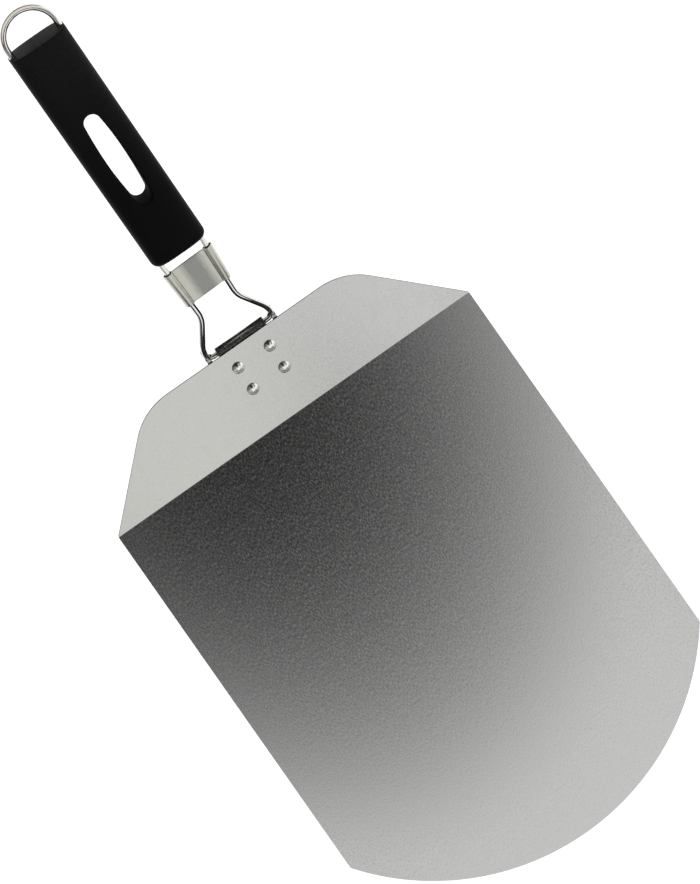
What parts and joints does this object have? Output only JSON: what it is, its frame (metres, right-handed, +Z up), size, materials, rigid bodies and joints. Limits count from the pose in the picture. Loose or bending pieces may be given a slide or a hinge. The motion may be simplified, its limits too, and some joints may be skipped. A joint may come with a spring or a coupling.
{
  "type": "folding pizza peel",
  "caption": "Flat steel pizza peel with a turned-up heel and a black-gripped wire handle that folds over the blade, held open by a sliding collar.",
  "frame": {"origin": "on the blade's flat underside, on the centre line, halfway between the heel's fold line and the middle of the front edge", "axes": "+Y towards the blade's front edge, +Z up out of the blade's cooking face, +X across the blade; the handle leaves towards -Y and +Z"},
  "size_m": [0.254, 0.566, 0.1428],
  "materials": {
    "blade_steel": "satin, grained along the blade",
    "bracket_steel": "plated, semi-bright",
    "rivet_steel": "bright",
    "polished_wire": "polished",
    "black_grip": "fine matt moulding",
    "sleeve_steel": "brushed along the handle"
  },
  "bodies": {
    "blade": {"blade": "blade_steel", "hinge_bracket": "bracket_steel", "rivet_1": "rivet_steel", "rivet_2": "rivet_steel", "rivet_3": "rivet_steel", "rivet_4": "rivet_steel"},
    "handle": {"wire_frame": "polished_wire", "grip": "black_grip"},
    "sleeve": {"lock_sleeve": "sleeve_steel"}
  },
  "joints": [
    {"name": "handle_fold", "type": "hinge", "parent": "blade", "child": "handle", "pos_m": [0, -0.20555, 0.03087], "axis": [-1, 0, 0], "range_deg": [0, 157]},
    {"name": "sleeve_slide", "type": "slide", "parent": "handle", "child": "sleeve", "axis": [0, -0.8829, 0.4695], "range_m": [0, 0.007]}
  ]
}
